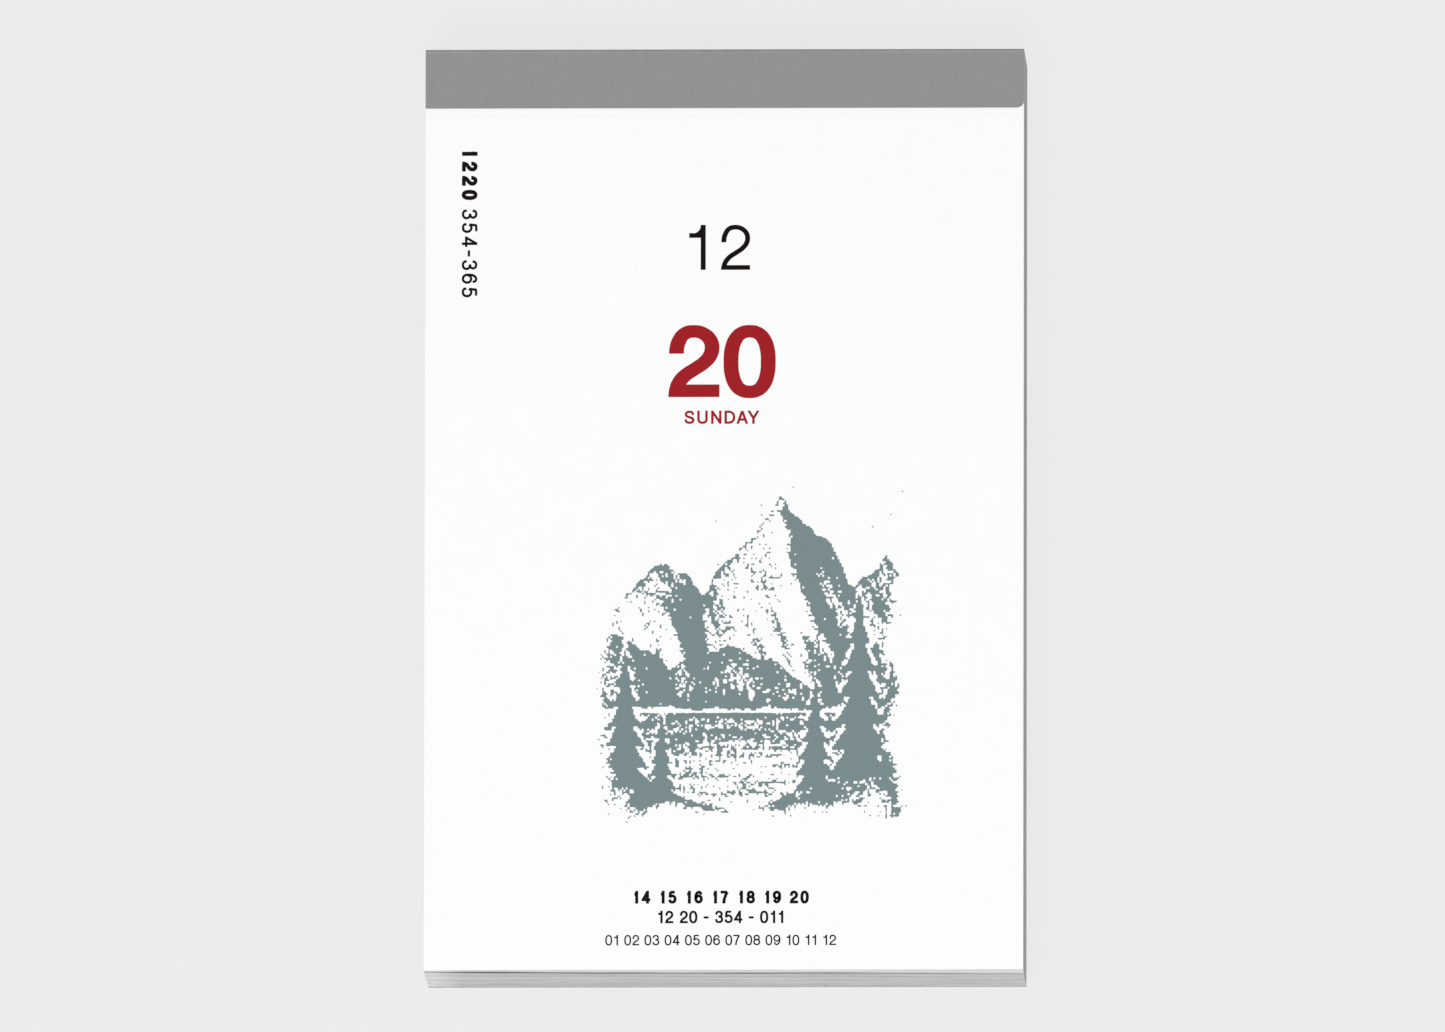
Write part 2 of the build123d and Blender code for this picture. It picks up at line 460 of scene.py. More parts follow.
# %% Pulp board, glue and wire
board_fleck_mm = 0.7
board_cloud_mm = 6.0
board_tooth_mm = 0.4
glue_cloud_mm = 1.2
wire_cloud_mm = 0.8
pulp_board, tree, shader, place = fresh_material("white_pulp_board", roughness=0.95, specular=0.15)
specks = patches(tree, place, board_fleck_mm, detail=5.0)
flecks = add_node(tree, MAP_RANGE, {"Value": specks, "From Min": 0.6, "From Max": 0.72})
ground = tint(tree, patches(tree, place, board_cloud_mm), srgb("#D3D2CF"), srgb("#DEDDDA"))
tree.links.new(tint(tree, flecks, ground, srgb("#A9A49A")), shader.inputs["Base Color"])
emboss(tree, shader, patches(tree, place, board_tooth_mm), depth_mm=0.04, strength=0.5)

padding_glue, tree, shader, place = fresh_material("milky_padding_glue", roughness=0.4, specular=0.5)
cloud_over(tree, shader, place, glue_cloud_mm, "#DDD8C4", "#EBE7D8")

staple_wire, tree, shader, place = fresh_material("galvanised_wire", roughness=0.38, specular=0.5)
shader.inputs["Metallic"].default_value = 1.0
cloud_over(tree, shader, place, wire_cloud_mm, "#AEB0B2", "#C6C8CA")
print("finishes:", pulp_board.name, padding_glue.name, staple_wire.name)

# %% [markdown]
# The print is offset ink: a thin film that sinks unevenly into uncoated paper, so its colour is a little
# cloudy. Print could be an image laid over the page. Here each line is a film of its own, which stays
# sharp from close by, and these are the inks for it.

# %% Printing inks
ink_cloud_mm = 0.5


def offset_ink(name, thin, full):
    """A film of ink between the tone where it lies thin and the tone where it lies full."""
    material, tree, shader, place = fresh_material(name, roughness=0.7, specular=0.05)
    cloud_over(tree, shader, place, ink_cloud_mm, thin, full)
    return material


black_ink = offset_ink("black_offset_ink", "#18120F", "#0E0908")
red_ink = offset_ink("red_offset_ink", "#A32329", "#991B21")
green_ink = offset_ink("grey_green_offset_ink", "#7F9092", "#748587")
print("inks:", black_ink.name, red_ink.name, green_ink.name)

# %% [markdown]
# The wrap, the board, the glue, the staples, today's stub and tomorrow's leaf lie still and keep their
# shape. Modelling them again would gain nothing, so they stay the solids of the CAD frame, at their
# exact size, and take these finishes.

# %% Finish the CAD pieces
cad_finishes = {
    "head_wrap": binding_paper,
    "back_board": pulp_board,
    "head_glue": padding_glue,
    "staple_left": staple_wire,
    "staple_right": staple_wire,
    "today_stub": leaf_paper,
    "tomorrow_leaf": leaf_paper,
}
for node_name, material in cad_finishes.items():
    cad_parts[node_name].material_slots[0].material = material
print("finished", len(cad_finishes), "CAD pieces")

# %% [markdown]
# A bmesh becomes a piece in one place, so that every piece gets the same care: its faces point outwards,
# its object sits at the origin, and it is given its material. The other helpers cut a sheet where it
# has to bend, trim it, and give it its thickness.

# %% Helpers that make a piece
X_AXIS = Vector((1, 0, 0))
Y_AXIS = Vector((0, 1, 0))


def make_piece(name, mesh, material):
    """Turns a bmesh into a finished object in the scene."""
    bmesh.ops.recalc_face_normals(mesh, faces=mesh.faces)
    for face in mesh.faces:
        face.smooth = False
    data = mesh_data(name, mesh)
    data.materials.append(material)
    piece = put_in_scene(name, data)
    return piece


def cut_plane(mesh, corner, outwards, trim=False):
    """Cuts a mesh by one plane, and where it is told to trim, removes what lies past the plane."""
    geometry = mesh.verts[:] + mesh.edges[:] + mesh.faces[:]
    bmesh.ops.bisect_plane(mesh, geom=geometry, plane_co=corner, plane_no=outwards, clear_outer=trim)


def cut_across(mesh, axis, places):
    """Cuts a mesh by planes square to an axis, so that it can bend there."""
    for place in places:
        cut_plane(mesh, axis * place, axis)


def thicken(mesh, depth):
    """Gives a flat sheet its thickness, upwards."""
    raised = bmesh.ops.extrude_face_region(mesh, geom=mesh.faces[:])
    verts = [item for item in raised["geom"] if isinstance(item, bmesh.types.BMVert)]
    bmesh.ops.translate(mesh, verts=verts, vec=(0, 0, depth))


print("piece helpers ready")

# %% [markdown]
# Today's leaf is one sheet, though the frame splits it at the line where it bends up. It is made from
# one grid, cut into rows that are close together at the bend, and its top edge has the ties of paper
# that hold it to the stub until it is torn. The slits between them are drawn narrower than the frame's,
# because paper that is not torn yet closes up. Its underside takes the greyer back.

# %% Today's leaf
tie_width = 0.6 * MM
tie_pitch = 2.6 * MM
tie_reach = 0.75
slit_width = 0.012 * MM
bend_length = 6.0 * MM
bend_rows = 14
page_rows_mm = (4, 12, 30, 60, 90)
tolerance = 0.001 * MM
edge_top_y = tear_y - slit_width
tie_count = int(2 * half_width // tie_pitch)
tie_centres = [(place - (tie_count - 1) / 2) * tie_pitch for place in range(tie_count)]


def on_tie(edge):
    """True for an edge at the top of the sheet where a tie goes on to the stub."""
    middle_x = (edge.verts[0].co.x + edge.verts[1].co.x) / 2
    at_top = all(vertex.co.y > edge_top_y - tolerance for vertex in edge.verts)
    return at_top and any(abs(middle_x - centre) < tie_width / 4 for centre in tie_centres)


sheet = bmesh.new()
bmesh.ops.create_grid(sheet, x_segments=1, y_segments=1, size=0.5)
bmesh.ops.scale(sheet, vec=(2 * half_width, edge_top_y - page_foot_y, 1), verts=sheet.verts)
bmesh.ops.translate(sheet, vec=(0, (edge_top_y + page_foot_y) / 2, leaf_low.z), verts=sheet.verts)
cut_across(sheet, X_AXIS, [centre + side * tie_width / 2 for centre in tie_centres for side in (-1, 1)])
cut_across(sheet, Y_AXIS, [fold_y - bend_length * row / bend_rows for row in range(bend_rows + 1)])
cut_across(sheet, Y_AXIS, [page_foot_y + length * MM for length in page_rows_mm])

tie_edges = [edge for edge in sheet.edges if on_tie(edge)]
ties = bmesh.ops.extrude_edge_only(sheet, edges=tie_edges)
tie_ends = [item for item in ties["geom"] if isinstance(item, bmesh.types.BMVert)]
bmesh.ops.translate(sheet, vec=(0, slit_width * tie_reach, 0), verts=tie_ends)
thicken(sheet, leaf_thickness)

page = make_piece("page", sheet, leaf_paper)
page.data.materials.append(leaf_back)
for face in page.data.polygons:
    face.material_index = int(face.normal.z < -0.5)
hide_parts("today_leaf", "tear_edge")
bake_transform(page)
print("page:", len(page.data.polygons), "faces,", len(tie_edges), "ties")

# %% [markdown]
# The other leaves are a stack of 363 loose sheets in eleven sheaves. What makes such a stack look real
# is that no two edges line up, as plain copies of one leaf would. So one thin sheet is made by operators,
# with more rows towards the foot, where it is loose, and each leaf is a copy of it whose points are set
# by its depth in the stack.

# %% One plain leaf
column_count = 24
row_shares = (0.012, 0.05, 0.11, 0.19, 0.3, 0.44, 0.6, 0.78)


def plain_leaf():
    """One leaf of unit size, from its foot at y 0 to its tear line at y 1, cut where it may bend."""
    sheet = bmesh.new()
    bmesh.ops.create_cube(sheet, size=1.0)
    bmesh.ops.translate(sheet, vec=(0, 0.5, 0.5), verts=sheet.verts)
    cut_across(sheet, X_AXIS, [column / column_count - 0.5 for column in range(1, column_count)])
    cut_across(sheet, Y_AXIS, row_shares)
    return mesh_data("plain_leaf", sheet)


template = plain_leaf()
print("plain leaf:", len(template.polygons), "faces")

# %% [markdown]
# Behind the front sheaf the pad has sprung open along the line of the shade, and the leaves on both
# sides of it make room. Under it there are small splits as well, where a few leaves part in one patch
# and lie close in the next. All of them fade out towards the head, where the leaves are held. The depth
# of a leaf is measured down from the page.

# %% Opening and splits
gap_half = 0.12 * MM
gap_unevenness = 0.3
gap_patch = 15 * MM
clump_depth = 0.3 * MM
clump_room = 0.2 * MM
split_count = 30
split_room = 0.2 * MM
split_patches = (3.1, 4.3)
split_step = 9.1
pad_depth = page_z - sheaf_boxes[0][0].z
front_top = page_z - sheaf_boxes[-1][1].z
stray = random.Random(7)
split_depths = sorted(stray.uniform(front_depth, pad_depth) for number in range(split_count))


def smooth_noise(x, y, z):
    """A smooth random value about 0, the same each time for one place."""
    return noise.noise(Vector((x, y, z)))


def spring_open(depth, x, looseness):
    """Depth of a leaf where the front sheaf has sprung away, and how much the leaves are squeezed there."""
    ripple = gap_ripple * math.sin((x - gap_ripple_start) / gap_ripple_length)
    line = front_depth + looseness * (gap_shift + gap_slant * x + ripple)
    narrowing = numpy.interp(x, gap_narrowing, (1, gap_narrowed))
    opening = looseness * gap_half * narrowing * (1 + gap_unevenness * smooth_noise(x / gap_patch, 0, 0))
    if depth <= front_depth:
        squeeze = (line - opening - front_top) / (front_depth - front_top)
        clump = max(squeeze - 1, 0) * clump_room * smooth_noise(0, 0, depth / clump_depth)
        return front_top + (depth - front_top) * squeeze + clump, squeeze
    squeeze = (pad_depth - line - opening) / (pad_depth - front_depth)
    return pad_depth - (pad_depth - depth) * squeeze, squeeze


def split_rooms(template):
    """For each point of a leaf, the room that the small splits take there, added up from the page down."""
    added_up = []
    for vertex in template.vertices:
        across, along = vertex.co[:2]
        rooms = [0.0]
        for number in range(split_count):
            patch = smooth_noise(split_patches[0] * across, split_patches[1] * along, split_step * number)
            rooms.append(rooms[-1] + split_room * max(patch, 0) * (1 - along))
        added_up.append(rooms)
    return added_up


splits = split_rooms(template)
print("small splits:", split_count, "in", round((pad_depth - front_depth) / MM, 1), "mm of leaves")

# %% [markdown]
# Each leaf also stands up to a tenth of a millimetre in or out. Its neighbours do so too, which makes
# soft clumps that run along the edge, and a leaf strays a little on its own. At the foot the leaves wave
# gently, most in the middle of the stack. A leaf is a little thinner than its room, so that a dark seam
# stays between two of them.

# %% Leaf stack
leaves_per_sheaf = 33
edge_wave = 0.1 * MM
edge_wave_length = 22 * MM
edge_wave_height = 1.3 * MM
foot_key = 3.0
side_key = 4.0
side_share = 0.5
leaf_stray = 0.003 * MM
leaf_fill = 0.93
wave_height = 0.11 * MM
wave_length = 32 * MM
wave_depth = 6 * MM
wave_turns = 2
side_column = 0.5 - 0.5 / column_count
closed_gap = sheaf_boxes[1][0].z - sheaf_boxes[0][1].z
foot_heights = [(low.z + high.z) / 2 for low, high in sheaf_boxes[:-1]] + [sheaf_boxes[-1][1].z]
foot_places = [low.y for low, high in sheaf_boxes[:-1]] + [page_foot_y]


def cloudy(x, y, z, octaves=4):
    """A random value about 0 with finer ripples on the soft ones, the same each time for one place."""
    fall_off, finer = 1.0, 2.0
    return noise.fractal(Vector((x, y, z)), fall_off, finer, octaves)


def edge_place(along_edge, depth, key):
    """How far the edge of a leaf stands out, in soft clumps that run along the edge."""
    return edge_wave * cloudy(along_edge / edge_wave_length, key, depth / edge_wave_height, octaves=2)


def lay_leaf(stack, template, splits, head_y, base_z, room):
    """Adds one leaf to a stack, with its foot, its sides and its waves set by how deep it lies."""
    depth = page_z - base_z
    splits_before = bisect.bisect(split_depths, depth)
    past_front = max(depth - front_depth, 0)
    foot_y = numpy.interp(base_z, foot_heights, foot_places)
    sway = math.sin(math.pi * min(max(depth / pad_depth, 0), 1))
    own = stray.uniform(-leaf_stray, leaf_stray)
    first = len(stack.verts)
    stack.from_mesh(template)
    stack.verts.ensure_lookup_table()
    for vertex, rooms in zip(stack.verts[first:], splits):
        across, along, through = vertex.co
        x = 2 * half_width * across
        y = foot_y + (head_y - foot_y) * along
        looseness = (1 - along) ** loosening
        tight = 1 - rooms[-1] / (pad_depth - front_depth)
        split_depth = depth + (tight - 1) * past_front + rooms[splits_before]
        new_depth, squeeze = spring_open(split_depth, x, looseness)
        wave = smooth_noise(x / wave_length, wave_turns * along, depth / wave_depth)
        if along < row_shares[0] / 2:
            y += own + edge_place(x, depth, foot_key)
        if abs(across) > side_column:
            x += own + side_share * edge_place(y, depth, side_key * 2 * across)
        paper = room * leaf_fill * tight * min(squeeze, 1)
        z = page_z - new_depth + paper * through + wave_height * sway * looseness * wave
        vertex.co = (x, y, z)


for number, (low, high) in enumerate(sheaf_boxes, 1):
    closing = closed_gap if number < sheaf_count else 0.0
    room = (high.z - low.z + closing) / leaves_per_sheaf
    stack = bmesh.new()
    for leaf in range(leaves_per_sheaf):
        lay_leaf(stack, template, splits, high.y, low.z + leaf * room, room)
    sheaf = make_piece(f"leaves_{number:02d}", stack, edge_paper)
    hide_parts(f"leaf_sheaf_{number:02d}")
    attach(sheaf, "pad")
print("leaf stack:", sheaf_count * leaves_per_sheaf, "leaves in", sheaf_count, "sheaves")

# %% [markdown]
# Above the tear line the same leaves, and tomorrow's over them, go on as stubs, pressed flat under the
# grey wrap. Only their ends show, at the two sides of the head, so each stub is a plain thin box, a
# little in or out like the leaf that it belongs to.

# %% Stubs
stub_count = sheaf_count * leaves_per_sheaf + 1
block_low, block_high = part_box("stub_block")
stub_room = (block_high.z - block_low.z) / stub_count
stub_size = (2 * half_width, block_high.y - block_low.y, stub_room * leaf_fill)
stubs = bmesh.new()
for number in range(stub_count):
    made = bmesh.ops.create_cube(stubs, size=1.0)["verts"]
    stray_x = stray.uniform(-leaf_stray, leaf_stray)
    depth = page_z - block_low.z - number * stub_room
    stray_x += side_share * edge_place(block_low.y, depth, side_key)
    bmesh.ops.scale(stubs, vec=stub_size, verts=made)
    middle = Vector((stray_x, (block_low.y + block_high.y) / 2, block_low.z + (number + 0.5) * stub_room))
    bmesh.ops.translate(stubs, vec=middle, verts=made)
stub_piece = make_piece("leaf_stubs", stubs, edge_paper)
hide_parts("stub_block")
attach(stub_piece, "pad")
print("stubs:", stub_count)

# %% [markdown]
# The print is set in a plain sans-serif. A font has its own outlines, and the built-in one has another
# character, so these figures and capitals are drawn the way a sign writer does it: a centre-line, and an
# even pen that swells a little where the stroke runs upright. The table gives each character its width,
# as a share of its height, and its strokes. Places in a stroke run from 0 to 1, across and upwards,
# between the middles of the outermost strokes. PAST and BELOW lie outside the character, so a stroke
# that goes there ends flat.

# %% Figures and capitals
PAST = 1.4
BELOW = -0.4
oval_points = 16
oval_fullness = 0.84


def oval(middle_y=0.5, half_across=0.5, half_up=0.5):
    """Points round an oval with full shoulders, and the first again at the end to close it."""
    points = []
    for step in range(oval_points):
        turn = 2 * math.pi * step / oval_points
        x, y = math.cos(turn), math.sin(turn)
        x, y = math.copysign(abs(x) ** oval_fullness, x), math.copysign(abs(y) ** oval_fullness, y)
        points.append((0.5 + half_across * x, middle_y + half_up * y))
    return points + points[:1]


SIX = [
    (.93, .74), (.82, .93), (.52, 1), (.14, .84), (0, .45), (.1, .13), (.5, 0), (.88, .1), (1, .31),
    (.88, .53), (.52, .62), (.14, .52), (.01, .33),
]
GLYPHS = {
    "0": (0.66, [oval(0.49, 0.5, 0.51)]),
    "1": (0.365, [
        [(1, BELOW), (1, PAST)],
        [(BELOW, .796), (1, .796)],
        [(.1, .796), (.3, .797), (.5, .815), (.78, .876), (.939, .947), (1, 1.05), (1.02, 1.12)],
    ]),
    "2": (0.66, [
        [(.045, .625), (.045, .67), (.1, .822), (.254, .957), (.518, 1), (.78, .957), (.953, .848), (1, .72),
         (.945, .592), (.8, .482), (.539, .367), (.295, .267), (.134, .157), (.047, .017), (.02, -.15)],
        [(.06, 0), (PAST, 0)],
    ]),
    "3": (0.66, [
        [(.03, .72), (.14, .92), (.48, 1), (.84, .91), (.93, .75), (.8, .59), (.42, .54)],
        [(.42, .54), (.84, .47), (1, .27), (.86, .07), (.48, 0), (.12, .08), (0, .29)],
    ]),
    "4": (0.68, [[(.76, BELOW), (.76, PAST)], [(BELOW, .24), (PAST, .24)], [(.78, 1.06), (-.03, .2)]]),
    "5": (0.66, [
        [(.13, 1), (.95, 1)],
        [(.17, 1.03), (.07, .47)],
        [(.05, .46), (.25, .6), (.52, .63), (.88, .52), (1, .31), (.86, .08), (.48, 0), (.1, .08), (0, .26)],
    ]),
    "6": (0.66, [SIX]),
    "7": (0.64, [[(BELOW, 1), (1, 1)], [(1, 1.02), (.64, .6), (.42, .25), (.33, BELOW)]]),
    "8": (0.66, [oval(0.76, 0.43, 0.24), oval(0.27, 0.5, 0.27)]),
    "9": (0.66, [[(1 - x, 1 - y) for x, y in SIX]]),
    "-": (0.4, [[(BELOW, .45), (PAST, .45)]]),
    "S": (0.76, [
        [(.97, .71), (.86, .93), (.5, 1), (.13, .92), (.04, .73), (.22, .58), (.52, .5), (.82, .42),
         (1, .25), (.88, .07), (.5, 0), (.1, .08), (0, .31)],
    ]),
    "U": (0.79, [
        [(0, PAST), (0, .7), (0, .32), (.13, .08), (.5, 0), (.87, .08), (1, .32), (1, .7), (1, PAST)],
    ]),
    "N": (0.78, [[(0, BELOW), (0, PAST)], [(1, BELOW), (1, PAST)], [(-.04, 1.06), (1.04, -.06)]]),
    "D": (0.81, [
        [(0, BELOW), (0, PAST)],
        [(0, 1), (.42, 1), (.85, .85), (1, .5), (.85, .15), (.42, 0), (0, 0)],
    ]),
    "A": (0.86, [[(.5, 1.06), (-.05, -.18)], [(.5, 1.06), (1.05, -.18)], [(.16, .28), (.84, .28)]]),
    "Y": (0.86, [[(.5, .4), (-.06, 1.14)], [(.5, .4), (1.06, 1.14)], [(.5, .46), (.5, BELOW)]]),
    "M": (0.94, [
        [(0, BELOW), (0, PAST)],
        [(1, BELOW), (1, PAST)],
        [(.02, 1.1), (.51, -.1)],
        [(.98, 1.1), (.49, -.1)],
    ]),
    "O": (0.9, [oval()]),
    " ": (0.3, []),
}
print("centre-lines:", " ".join(GLYPHS))

# %% [markdown]
# Each centre-line is a smooth curve with a ribbon along it, because a curve can be given a width at each
# of its points. The strokes of a character lie a few thousandths of a millimetre above each other, so
# that they don't flicker where they cross, and what sticks out past its four sides is cut off flat.

# %% Draw a character
curve_steps = 10
stroke_rise = 0.003 * MM
weld_distance = 0.0005 * MM


def add_stroke(curve, points, closed, swell):
    """Adds one centre-line to a curve, with a ribbon that is wider where the line runs upright."""
    spline = curve.splines.new("BEZIER")
    spline.use_cyclic_u = closed
    spline.bezier_points.add(len(points) - 1)
    for place, (knot, point) in enumerate(zip(spline.bezier_points, points)):
        before = points[place - 1] if place or closed else point
        after = points[(place + 1) % len(points)] if place + 1 < len(points) or closed else point
        run = (after - before).normalized()
        knot.co = point
        knot.handle_left_type = knot.handle_right_type = "VECTOR" if len(points) == 2 else "AUTO"
        knot.tilt = math.pi / 2
        knot.radius = 1 + swell * run.y ** 2


def trim_glyph(glyph, width, height):
    """Cuts off what sticks out past the four sides of a character."""
    origin = Vector((0, 0, 0))
    foot_and_head = (origin, -Y_AXIS), (Y_AXIS * height, Y_AXIS)
    left_and_right = (origin, -X_AXIS), (X_AXIS * width, X_AXIS)
    for corner, outwards in foot_and_head + left_and_right:
        cut_plane(glyph, corner, outwards, trim=True)


def draw_glyph(letter, height, pen, swell, stretch):
    """One character as a flat bmesh, with its lower left corner at the origin, and its width."""
    share, strokes = GLYPHS[letter]
    width = share * stretch * height
    upright = pen * (1 + swell)
    curve = bpy.data.curves.new("stroke", "CURVE")
    curve.dimensions = "3D"
    curve.twist_mode = "Z_UP"
    curve.resolution_u = curve_steps
    curve.extrude = pen / 2
    for number, stroke in enumerate(strokes):
        level = stroke_rise * number
        places = [(upright / 2 + x * (width - upright), pen / 2 + y * (height - pen)) for x, y in stroke]
        closed = stroke[0] == stroke[-1]
        points = [Vector((x, y, level)) for x, y in (places[:-1] if closed else places)]
        add_stroke(curve, points, closed, swell)
    holder = bpy.data.objects.new("stroke", curve)
    data = bpy.data.meshes.new_from_object(holder)
    glyph = bmesh.new()
    glyph.from_mesh(data)
    bpy.data.objects.remove(holder)
    bpy.data.meshes.remove(data)
    bmesh.ops.remove_doubles(glyph, verts=glyph.verts, dist=weld_distance)
    if any(stroke[0] != stroke[-1] for stroke in strokes):
        trim_glyph(glyph, width, height)
    return glyph, width


print("curve steps between two points:", curve_steps)

# %% [markdown]
# A printer sets a line between two margins: every character keeps some room at its sides, more beside an
# upright stroke than beside a slanting or a round one, and what is left is shared out evenly.

# %% Set a line
SIDE_ROOMS = {"U": 0.13, "N": 0.13, "M": 0.13, "D": 0.1, "A": 0.0, "Y": -0.01, "1": 0.17}
side_room = 0.08


def set_line(text, left, right, base, height, pen, swell=0.06, stretch=1.0):
    """A line of characters as one flat bmesh at z 0, spread to reach from its left end to its right end."""
    drawn = [draw_glyph(letter, height, pen, swell, stretch) for letter in text]
    rooms = [SIDE_ROOMS.get(letter, side_room) * height for letter in text]
    widths = [width for glyph, width in drawn]
    natural = sum(widths) + sum(rooms[:-1]) + sum(rooms[1:])
    spread = (right - left - natural) / max(len(text) - 1, 1)
    line = bmesh.new()
    pen_x = left
    for place, (glyph, width) in enumerate(drawn):
        bmesh.ops.translate(glyph, vec=(pen_x, base, 0), verts=glyph.verts)
        data = mesh_data("glyph", glyph)
        line.from_mesh(data)
        bpy.data.meshes.remove(data)
        if place + 1 < len(text):
            pen_x += width + rooms[place] + rooms[place + 1] + spread
    return line


print("characters with their own room:", " ".join(SIDE_ROOMS))

# %% [markdown]
# The picture on a daily leaf is printed in one soft ink. Here it is a generic view of snowy mountains,
# wooded hills, a lake that mirrors the wood, and a few conifers on the near bank. It is worked out by
# formula as a tone between bare paper and full ink, so no image file is needed. Places in it run from 0
# to 1, across and upwards. This cell has the outlines.

# %% Outlines of the view
lake_line = 0.33
wood_spacing = 0.028
wood_height = 0.075
tree_half = 0.62
wood_trees = 40
conifer_tiers = 7
tier_cut = 0.5
conifer_taper = 0.85
branch_raggedness = 0.006
branch_ripples = 60
summit_ripples = 9
halo_rise = 0.03
halo_breadth = 0.014
# A summit has its middle, height and spread, a conifer its trunk, foot, height and breadth, and a tree of
# the far wood its lean and its share of the height.
PEAKS = ((0.24, 0.80, 1.0), (0.60, 0.98, 0.85), (0.93, 0.80, 0.95))
HILLS = ((0.02, 0.60, 1.6), (0.43, 0.53, 2.4), (1.0, 0.60, 1.7))
CONIFERS = (
    (0.85, 0.14, 0.55, 0.105),
    (0.71, 0.10, 0.33, 0.07),
    (0.955, 0.15, 0.36, 0.075),
    (0.11, 0.11, 0.42, 0.085),
    (0.225, 0.07, 0.26, 0.055),
)
HALOES = [(trunk, foot, tall + halo_rise, broad + halo_breadth) for trunk, foot, tall, broad in CONIFERS]
tree_dice = random.Random(3)
WOOD = [(tree_dice.uniform(-0.3, 0.3), tree_dice.uniform(0.45, 1.0)) for place in range(wood_trees)]


def soft(value, low, high):
    """Rises smoothly from 0 at low to 1 at high."""
    share = min(max((value - low) / (high - low), 0.0), 1.0)
    return share * share * (3 - 2 * share)


def summit_line(across, summits, roughness, seed):
    """Height of a mountain line, and how far to the right of its summit the place is."""
    slopes = [(tall - abs(across - middle) / spread, across - middle) for middle, tall, spread in summits]
    height, side = max(slopes)
    return height + roughness * cloudy(across * summit_ripples, seed, 0.5), side


def tree_line(across, base):
    """Top of a wood, a row of narrow pointed trees of different heights."""
    place = math.floor(across / wood_spacing)
    top = base
    for trunk in (place - 1, place, place + 1):
        lean, share = WOOD[trunk % len(WOOD)]
        away = abs(across / wood_spacing - trunk - 0.5 - lean)
        top = max(top, base + wood_height * share * (1 - away / tree_half))
    return top


def in_conifer(across, upward, trunk, foot, tall, broad):
    """True inside a conifer, whose branches hang in tiers."""
    share = (upward - foot) / tall
    tier = 1 - tier_cut * ((share * conifer_tiers) % 1)
    ragged = branch_raggedness * smooth_noise(across * branch_ripples, upward * branch_ripples, trunk)
    return 0 <= share < 1 and abs(across - trunk) < broad * (1 - share) ** conifer_taper * tier + ragged


print("view:", len(PEAKS), "peaks,", len(HILLS), "hills,", len(CONIFERS), "conifers")

# %% [markdown]
# The tones are layered from far to near, as a painter would do it. Each has its own amount of ink, which
# thins out downhill or in streaks. A pale halo sets the conifers off from what is behind them, and the
# rim of the picture is ragged.

# %% Tones of the view
wood_ink = 1.1
hill_ink = 0.85
rock_ink = 0.4
water_ink = 0.33
mirror_ink = 0.66
conifer_ink = 1.1
bank_ink = 0.85
halo_share = 0.35
far_shore = 0.36
mirror_shore = 0.40
shore_sway = 0.025
hill_roughness = 0.03
peak_roughness = 0.05
bank_height = 0.07
bank_sway = 0.05
bank_rise_left = 0.1
bank_rise_right = 0.13


def far_tone(across, upward, seed):
    """Ink of the sky, the mountains, the hills and the wood beyond the lake."""
    streak = cloudy(across * 15 + upward * 7, upward * 4, seed)
    if upward < tree_line(across, far_shore + shore_sway * smooth_noise(across * 4, seed, 7.0)):
        mist = soft(lake_line + 0.018 + 0.01 * streak - upward, 0, 0.02)
        return wood_ink - 4.5 * mist
    hill = summit_line(across, HILLS, hill_roughness, seed + 4)[0]
    if upward < hill:
        return hill_ink - 2.2 * (hill - upward) + 0.35 * streak
    peak = summit_line(across, PEAKS, peak_roughness, seed)[0]
    if upward < peak:
        depth = peak - upward
        from_ridge = summit_line(across - 0.1 * depth, PEAKS, 0.0, seed)[1]
        shaded = soft(from_ridge + 0.1 * streak, -0.04, 0.06)
        outline = soft(0.03 - depth, 0, 0.03)
        return rock_ink + 0.5 * shaded - 0.55 * depth + 0.6 * streak + 0.4 * outline
    return 0.0


def lake_tone(across, upward, seed):
    """Ink of the water: faint ripples, and the wood mirrored in them."""
    ripple = smooth_noise(across * 5, upward * 60, seed)
    mirrored = 2 * lake_line - upward < tree_line(across + 0.012 * ripple, mirror_shore)
    return mirror_ink + 0.6 * ripple if mirrored else water_ink + 0.5 * ripple


def picture_tone(across, upward, seed):
    """How much ink the picture has at a place: 0 is bare, and 1 or more is full."""
    tone = far_tone(across, upward, seed) if upward > lake_line else lake_tone(across, upward, seed)
    bank = bank_height + bank_sway * cloudy(across * 3, seed, 5.0)
    bank += bank_rise_right * soft(across, 0.55, 1.0)
    bank += bank_rise_left * soft(-across, -0.32, -0.02)
    if any(in_conifer(across, upward, *conifer) for conifer in CONIFERS):
        tone = conifer_ink + 0.4 * smooth_noise(across * 34, upward * 34, seed)
    elif upward < bank:
        tone = bank_ink - 1.8 * (bank - upward) + 0.5 * cloudy(across * 14, upward * 9, seed + 2, 3)
    elif any(in_conifer(across, upward, *halo) for halo in HALOES):
        tone *= halo_share
    rim = min(across, 1 - across, upward, 3 * (1 - upward))
    ragged = 0.04 + 0.04 * cloudy(across * 6, upward * 6, seed, 3)
    return tone * soft(rim, ragged - 0.03, ragged + 0.04)


print("inks of the view, from far to near:", rock_ink, hill_ink, wood_ink, water_ink, bank_ink)

# %% [markdown]
# The print has the rough grain of a photocopy: the smooth tone is rounded to printed or bare in each
# small cell, and a random grain decides in the middle tones. The cells start as one grid, the bare ones
# are deleted, and the rims of the rest are softened and made a little ragged, as ink does.

# %% Dotted picture
cell_size = 0.33 * MM
grain_cells = 1.7
grain_depth = 0.5
grain_scatter = 0.22
half_tone = 0.5
rim_softness = 0.3
ink_spread = 0.2


